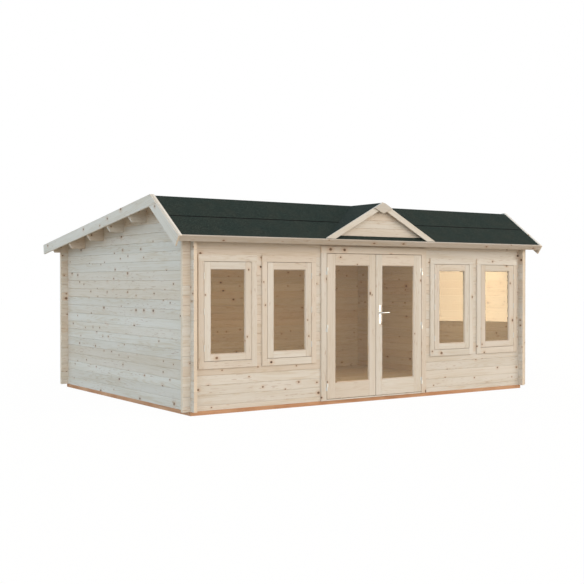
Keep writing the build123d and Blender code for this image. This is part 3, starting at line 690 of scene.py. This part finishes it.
def add_frame(timber, outer, glass):
    """A leaf or sash: stiles full height, rails between them, and beads round the glass."""
    front, back = outer[0].y, outer[1].y
    add_ring(timber, outer, grown(glass, GLAZING_SLANT), front, back, head_runs_over=False)
    add_bead(timber, glass, front, back)


for side in ("left", "right"):
    leaf = Timber("leaf " + side)
    add_frame(leaf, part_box("door_leaf_" + side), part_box("door_glass_" + side))
    leaf.finish("door_leaf_" + side + "_timber", JOINERY, "door_leaf_" + side)

SASHES = solid_boxes("window_sashes")
sashes = Timber("sashes")
for sash, pane in zip(SASHES, solid_boxes("window_glass")):
    add_frame(sashes, sash, pane)
sashes.finish("window_sashes_timber", JOINERY, "window_sashes")

WINDOW_CASINGS = solid_boxes("window_frames")
wall_low, wall_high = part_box("front_wall_piers")
frames = Timber("window frames")
for casing, sash in zip(WINDOW_CASINGS, SASHES):
    hole = (Vector((casing[0].x + CASING_LAP, 0, wall_low.z)),
            Vector((casing[1].x - CASING_LAP, 0, wall_high.z)))
    opening, behind = grown(sash, SASH_GAP), grown(sash, -SASH_STOP)
    add_ring(frames, casing, opening, casing[0].y, wall_low.y, head_runs_over=True)
    add_ring(frames, hole, opening, wall_low.y, sash[1].y, head_runs_over=True)
    add_ring(frames, hole, behind, sash[1].y, wall_high.y, head_runs_over=True)
    add_ring(frames, casing, behind, wall_high.y, casing[1].y, head_runs_over=True)
frames.finish("window_frames_timber", JOINERY, "window_frames")

for node in ("door_glass_left", "door_glass_right", "window_glass"):
    cover(node, GLASS)

# Felt in lengths that lap over each other down the slopes
FRONT_LAPS = [0.415]  # distances down the slope from its top
REAR_LAPS = [0.9, 1.8, 2.7]
LAP_STEP = 0.0018  # the upper length stands proud of the lower one
FELT_ARRIS = 0.0005
SEAM_WIDE = 0.015  # painted shadow bead that shows below a lap
SEAM_WAVER = 0.006  # and how much wider it gets
SEAM_PITCH = 0.05  # between the places where its width changes
SEAM_HIGH = 0.0014
SEAM_UP_LAP = 0.0012  # its height against the edge of the upper length
SEAM_UNDER_LAP = 0.001
SEAM_SUNK = 0.0004
SEAM_FROM_VERGE = 0.004


def lapped_felt(node, slope, laps):
    """Cut a node's felt at its laps and thin each length towards its upper edge.

    Returns the place of each lap, the direction up the slope and the one away from it.
    """
    nearly = 0.001
    top = max((vert.co.copy() for vert in NODES[node].data.vertices), key=lambda point: point.z)
    normal = X.cross(slope)
    normal = normal if normal.z > 0 else -normal
    ridge = top.dot(slope)
    face = top.dot(normal)
    made = bmesh.new()
    for solid in cut_at([solid_of(node)], slope, sorted(ridge - lap for lap in laps)):
        upper = max(vert.co.dot(slope) for vert in solid.verts)
        is_topmost = upper > ridge - 0.05
        if not is_topmost:
            for vert in solid.verts:
                on_top = face - vert.co.dot(normal) < nearly
                if on_top and upper - vert.co.dot(slope) < nearly:
                    vert.co -= normal * LAP_STEP
        length = mesh_from(solid, "length")
        made.from_mesh(length)
        bpy.data.meshes.remove(length)
    ease(made, FELT_ARRIS)
    name = node + "_lengths"
    place_piece(name, mesh_from(made, name), FELT, "house", (node,))
    return [(top - slope * lap, slope, normal) for lap in laps]


def lap_shadow_seams(name, runs):
    """Painted shadow of each lap edge: a thin wavering black bead along each run, tucked under the
    lap.
    """
    dice = random.Random(name)
    made = bmesh.new()
    for left, right, (place, slope, normal) in runs:
        rows = []
        count = max(2, round((right - left) / SEAM_PITCH))
        for number in range(count + 1):
            x = left + (right - left) * number / count
            reach = SEAM_WIDE + SEAM_WAVER * dice.random()
            foot = Vector((x, place.y, place.z)) - normal * (LAP_STEP + SEAM_SUNK)
            under_lap = foot + slope * SEAM_UNDER_LAP
            rows.append([made.verts.new(point) for point in (
                under_lap + normal * SEAM_UP_LAP,
                foot - slope * reach * 0.5 + normal * SEAM_HIGH,
                foot - slope * reach,
                under_lap,
            )])
        for first, second in zip(rows, rows[1:]):
            for k in range(4):
                made.faces.new((first[k], first[(k + 1) % 4], second[(k + 1) % 4], second[k]))
        made.faces.new(rows[0][::-1])
        made.faces.new(rows[-1])
    bmesh.ops.recalc_face_normals(made, faces=made.faces)
    place_piece(name, mesh_from(made, name), LAP_SHADOW_BITUMEN, "house")


front_laps = lapped_felt("felt_front", FRONT_SLOPE, FRONT_LAPS)
rear_laps = lapped_felt("felt_rear", REAR_SLOPE, REAR_LAPS)
felt_low, felt_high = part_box("felt_front")
seam_left, seam_right = felt_low.x + SEAM_FROM_VERGE, felt_high.x - SEAM_FROM_VERGE
seams = [(seam_left, seam_right, lap) for lap in rear_laps]
gablet_low, gablet_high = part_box("gablet_felt")
for lap in front_laps:
    rise = (lap[0].z - gablet_low.z) / (gablet_high.z - gablet_low.z)
    gablet_half = (gablet_high.x - gablet_low.x) / 2 * max(0.0, 1 - rise)
    seams += [(seam_left, -gablet_half, lap), (gablet_half, seam_right, lap)]
# Painted shadow below the felt laps, as near-black beads
lap_shadow_seams("felt_lap_seams", seams)
cover("gablet_felt", FELT)

# Screws, hinges, lock and lever
CASING_SCREW = (0.0035, 0.0006)  # radius and height of a head
PLATE_SCREW = (0.0032, 0.0006)


def add_head(made, place, normal, radius, height, sides=8):
    """A low domed head of a screw."""
    turn = normal.to_track_quat("Z", "Y").to_matrix().to_4x4()
    middle = Matrix.Translation(place + normal * height / 2)
    bmesh.ops.create_cone(made, cap_ends=True, segments=sides, radius1=radius,
                          radius2=radius * 0.55, depth=height, matrix=middle @ turn)


def screw_heads(name, places, size, body):
    """Screws in the front faces at some places, joined in one mesh."""
    made = bmesh.new()
    for place in places:
        add_head(made, Vector(place), -Y, *size)
    place_piece(name, mesh_from(made, name), SATIN, body)


def casing_screws():
    """Screws in the outer casings of the windows and the door."""
    foot_up, top_down, inside_sash = 0.05, 0.045, 0.3  # on a window's side casings
    head_from_end, head_from_middle = 0.035, 0.25
    door_from_edge, door_heights = 0.03, (0.15, 0.6, 1.0, 1.45, 1.8)
    places = []
    for casing, sash in zip(WINDOW_CASINGS, SASHES):
        left, right = (casing[0].x + sash[0].x) / 2, (casing[1].x + sash[1].x) / 2
        for z in (casing[0].z + foot_up, sash[0].z + inside_sash,
                  sash[1].z - inside_sash, casing[1].z - top_down):
            places += [(x, casing[0].y, z) for x in (left, right)]
    low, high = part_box("door_head_casings")
    for x in (low.x + head_from_end, -head_from_middle, head_from_middle, high.x - head_from_end):
        places.append((x, low.y, (low.z + high.z) / 2))
    for z in door_heights:
        places += [(x, low.y, z) for x in (low.x + door_from_edge, high.x - door_from_edge)]
    screw_heads("casing_screws", places, CASING_SCREW, "house")


def hinge_screws(node):
    """Two screws in each hinge plate of a leaf, and one in each of the frame."""
    from_edge, from_end, plate_thick = 0.008, 0.012, 0.002
    on_frame = node == "frame_hinges"
    face_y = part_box("door_leaf_left")[0].y - plate_thick
    places = []
    for low, high in solid_boxes(node):
        on_right = low.x + high.x > 0
        x = high.x - from_edge if on_right == on_frame else low.x + from_edge
        ends = (low.z + from_end,) if on_frame else (low.z + from_end, high.z - from_end)
        places += [(x, face_y, z) for z in ends]
    screw_heads(node + "_screws", places, PLATE_SCREW, BODY_OF[node])


def window_hinges():
    """Three small hinges on each sash, on its outer side of the pair."""
    radius, knuckle, gap, sides = 0.0055, 0.033, 0.002, 14
    cap_radius, cap_high, proud = 0.0045, 0.004, 0.0035
    low_up, high_down = 0.15, 0.16
    made = bmesh.new()
    for number, (low, high) in enumerate(SASHES):
        x = low.x - SASH_GAP / 2 if number % 2 == 0 else high.x + SASH_GAP / 2
        for z in (low.z + low_up, (low.z + high.z) / 2, high.z - high_down):
            for end in (-Z, Z):
                middle = Vector((x, low.y - proud, z)) + end * (knuckle + gap) / 2
                bmesh.ops.create_cone(made, cap_ends=True, segments=sides,
                                      radius1=radius, radius2=radius, depth=knuckle,
                                      matrix=Matrix.Translation(middle))
                add_head(made, middle + end * knuckle / 2, end, cap_radius, cap_high, sides)
    place_piece("window_hinges", mesh_from(made, "window_hinges"), ZINC, "house")


def lock_plates():
    """The lock plates with rounded edges."""
    rounding, corner = 0.0008, 0.8
    plates = solid_of("lock_plates")
    ease(plates, rounding, sharp=corner, segments=2)
    place_piece("lock_plates_metal", mesh_from(plates, "lock_plates_metal"), SATIN,
                BODY_OF["lock_plates"], ("lock_plates",))


def rings_mesh(name, rings):
    """A closed skin over rings of points, ended by flat faces."""
    points = [point for ring in rings for point in ring]
    sides = len(rings[0])
    faces = [list(range(sides))[::-1], list(range(len(points) - sides, len(points)))]
    for row in range(len(rings) - 1):
        for k in range(sides):
            a, b = row * sides + k, row * sides + (k + 1) % sides
            faces.append([a, b, b + sides, a + sides])
    mesh = bpy.data.meshes.new(name)
    mesh.from_pydata(points, [], faces)
    mesh.shade_smooth()
    return mesh


def lever_path(axis_x, axis_z, foot, tip, outward, end_x):
    """Middles, directions and radii of one handle's rings, from its rose to the tip of its hand."""
    rose, neck, bend, taper = 0.013, 0.0085, 0.014, 0.92
    bend_steps, dome_steps = 8, 5
    hand_y = tip - outward * neck
    path = [(Vector((axis_x, foot + outward * far, axis_z)), Y * outward, radius)
            for far, radius in ((0, rose), (0.0065, rose), (0.008, 0.0115), (0.0081, neck))]
    for number in range(bend_steps + 1):
        angle = math.pi / 2 * number / bend_steps
        middle = Vector((axis_x + bend * (1 - math.cos(angle)),
                         hand_y - outward * bend * (1 - math.sin(angle)), axis_z))
        path.append((middle, Vector((math.sin(angle), outward * math.cos(angle), 0)), neck))
    dome_x = end_x - neck - 0.004
    path.append((Vector((dome_x, hand_y, axis_z)), X, neck * taper))
    for number in range(1, dome_steps + 1):
        angle = math.pi / 2 * number / (dome_steps + 0.2)
        far = dome_x + (end_x - dome_x) * math.sin(angle)
        path.append((Vector((far, hand_y, axis_z)), X, neck * taper * math.cos(angle)))
    return path


def lever():
    """Lever handles outside and inside: a round neck that bends into a hand and ends in a dome."""
    low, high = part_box("door_lever")
    plate_low, plate_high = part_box("lock_plates")
    axis_x, axis_z = low.x + 0.013, (low.z + high.z) / 2
    off_plate, sides = 0.0003, 20
    outside = (plate_low.y - off_plate, low.y, -1)
    inside = (plate_high.y + off_plate, high.y, 1)
    turns = [2 * math.pi * k / sides for k in range(sides)]
    made = bmesh.new()
    for foot, tip, outward in (outside, inside):
        rings = []
        for middle, direction, radius in lever_path(axis_x, axis_z, foot, tip, outward, high.x):
            side = direction.cross(Z)
            rings.append([middle + (side * math.cos(turn) + Z * math.sin(turn)) * radius
                          for turn in turns])
        handle = rings_mesh("handle", rings)
        made.from_mesh(handle)
        bpy.data.meshes.remove(handle)
    bmesh.ops.recalc_face_normals(made, faces=made.faces)
    mesh = mesh_from(made, "door_lever_shaped")
    mesh.shade_smooth()
    place_piece("door_lever_shaped", mesh, SATIN, "lever", ("door_lever",))


def lock_cylinder():
    """Lock cylinder in both plates, with the plug that turns in it, and the plates' screws."""
    plate_low, plate_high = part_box("lock_plates")
    x = (plate_low.x + plate_high.x) / 2
    cylinder_up, screw_from_end = 0.073, 0.014
    cylinder, plug, screw = (0.0088, 0.002, 24), (0.0058, 0.0008, 20), (0.0042, 0.001, 12)
    made = bmesh.new()
    for face, outward in ((plate_low.y, -Y), (plate_high.y, Y)):
        middle = Vector((x, face, plate_low.z + cylinder_up))
        add_head(made, middle, outward, *cylinder)
        add_head(made, middle + outward * 0.0019, outward, *plug)
        for z in (plate_low.z + screw_from_end, plate_high.z - screw_from_end):
            add_head(made, Vector((x, face, z)), outward, *screw)
    place_piece("lock_cylinder", mesh_from(made, "lock_cylinder"), ZINC, "door_right")


casing_screws()
for node in ("frame_hinges", "leaf_hinges_left", "leaf_hinges_right"):
    cover(node, ZINC)
    hinge_screws(node)
window_hinges()
lock_plates()
lever()
lock_cylinder()

# Floor, sky and lamps
FLOOR_REACH = 60.0
FLOOR_WHITE = 1.04
FLOOR_SHARE = 0.93  # of the white, so that the object's shade still shows
HORIZON = (0.02, 0.02, 0.02, 1)
ZENITH = (0.36, 0.40, 0.45, 1)
FRONT_GLOW = (1.76, 1.60, 1.43)
REAR_GLOW = (1.0, 1.08, 1.15)
LEFT_GLOW = (0.63, 1.06, 1.44)
RIGHT_GLOW = (0.35, 0.33, 0.3)
WHITE = (1, 1, 1, 1)
FRONT_WALL = -1.88


def studio_floor():
    """A pale floor, white to the camera except where the object shades it."""
    mesh = bpy.data.meshes.new("studio_floor")
    corners = [(x * FLOOR_REACH, y * FLOOR_REACH, 0)
               for x, y in ((-1, -1), (1, -1), (1, 1), (-1, 1))]
    mesh.from_pydata(corners, [], [(0, 1, 2, 3)])
    floor = bpy.data.objects.new("studio_floor", mesh)
    bpy.context.scene.collection.objects.link(floor)
    g = Graph("studio_floor")
    g.shader.inputs["Base Color"].default_value = (0.52, 0.47, 0.39, 1)
    g.shader.inputs["Roughness"].default_value = 0.9
    white = g.node("Emission", {"Color": WHITE, "Strength": FLOOR_WHITE})
    seen = g.math("MULTIPLY", g.seen_directly(), FLOOR_SHARE)
    g.put(g.output.inputs["Surface"], g.node("MixShader", (seen, g.shader.outputs[0], white)))
    mesh.materials.append(g.owner)


def sky():
    """White where it is seen. On the object, an even light: bluish from above, the left and the
    rear, warm from the front."""
    g = Graph("sky", bpy.data.worlds)
    bpy.context.scene.world = g.owner
    g.nodes.remove(g.nodes["Background"])
    x, y, z = g.split(g.node("TexCoord", out="Generated"))
    height = g.node("MapRange", {"Value": z, "From Min": -0.05, "From Max": 0.7})
    light = g.mix(height, HORIZON, ZENITH)
    sides = ((y, -1.0, FRONT_GLOW), (y, 1.0, REAR_GLOW), (x, -1.0, LEFT_GLOW), (x, 1.0, RIGHT_GLOW))
    for way, sign, glow in sides:
        towards = g.math("MAXIMUM", g.math("MULTIPLY", way, sign), 0.0)
        towards = g.math("POWER", towards, 2.0)
        light = g.vector("MULTIPLY_ADD", g.xyz(towards, towards, towards), glow, light)
    light = g.node("Background", {"Color": light, "Strength": 1.0})
    white = g.node("Background", {"Color": WHITE, "Strength": 1.0})
    g.put(g.output.inputs["Surface"], g.node("MixShader", (g.seen_directly(), light, white)))


def lamp(name, kind, place, target, energy, colour, **settings):
    """A lamp at a place that shines at a target, and shows in nothing that mirrors."""
    data = bpy.data.lights.new(name, kind)
    data.energy = energy
    data.color = colour
    for key, value in settings.items():
        setattr(data, key, value)
    light = bpy.data.objects.new(name, data)
    light.location = place
    light.rotation_euler = (Vector(place) - Vector(target)).to_track_quat("Z", "Y").to_euler()
    light.visible_camera = False
    light.visible_glossy = False
    bpy.context.scene.collection.objects.link(light)
    return light


def warm_softbox():
    """The bright sky in the right windows: a lamp that shows only in glass, metal and gloss."""
    azimuth = math.radians(52.5)  # from straight ahead of the front, towards the right
    far, high = 17.0, 3.3
    place = (far * math.sin(azimuth), FRONT_WALL - far * math.cos(azimuth), high)
    softbox = lamp("warm_softbox", "AREA", place=place, target=(0, FRONT_WALL, 1.0),
                   energy=1110.0, colour=(1.0, 0.78, 0.50), shape="RECTANGLE", size=5.6, size_y=6.0)
    softbox.visible_glossy = True
    softbox.visible_diffuse = False


studio_floor()
sky()
lamp("left_sun", "SUN", place=(-8.06, -4.89, 3.34), target=(0, 0, 0),
     energy=0.2, colour=(1.0, 1.0, 1.0), angle=math.radians(3))
warm_softbox()
lamp("warm_sun", "SUN", place=(10, -11.5, 5.0), target=(0, FRONT_WALL, 0),
     energy=0.42, colour=(1.0, 0.98, 0.94), angle=math.radians(25))
lamp("room_lamp", "AREA", place=(0, -1.5, 1.9), target=(0, 0.1, 0),
     energy=41.0, colour=(1.0, 0.92, 0.69), shape="RECTANGLE", size=4.6, size_y=0.3)

# Camera, as the photo was taken
TILT_DOWN = 0.6286
TURN_RIGHT = 33.957
camera_data = bpy.data.cameras.new("photo_camera")
camera_data.sensor_width = 36.0
camera_data.lens = 60.86
camera = bpy.data.objects.new("photo_camera", camera_data)
camera.location = (-7.899, -11.720, 1.5206)
camera.rotation_euler = Euler((math.radians(90 - TILT_DOWN), 0, math.radians(-TURN_RIGHT)))
bpy.context.scene.collection.objects.link(camera)
bpy.context.scene.camera = camera
bpy.context.scene.view_settings.view_transform = "Standard"
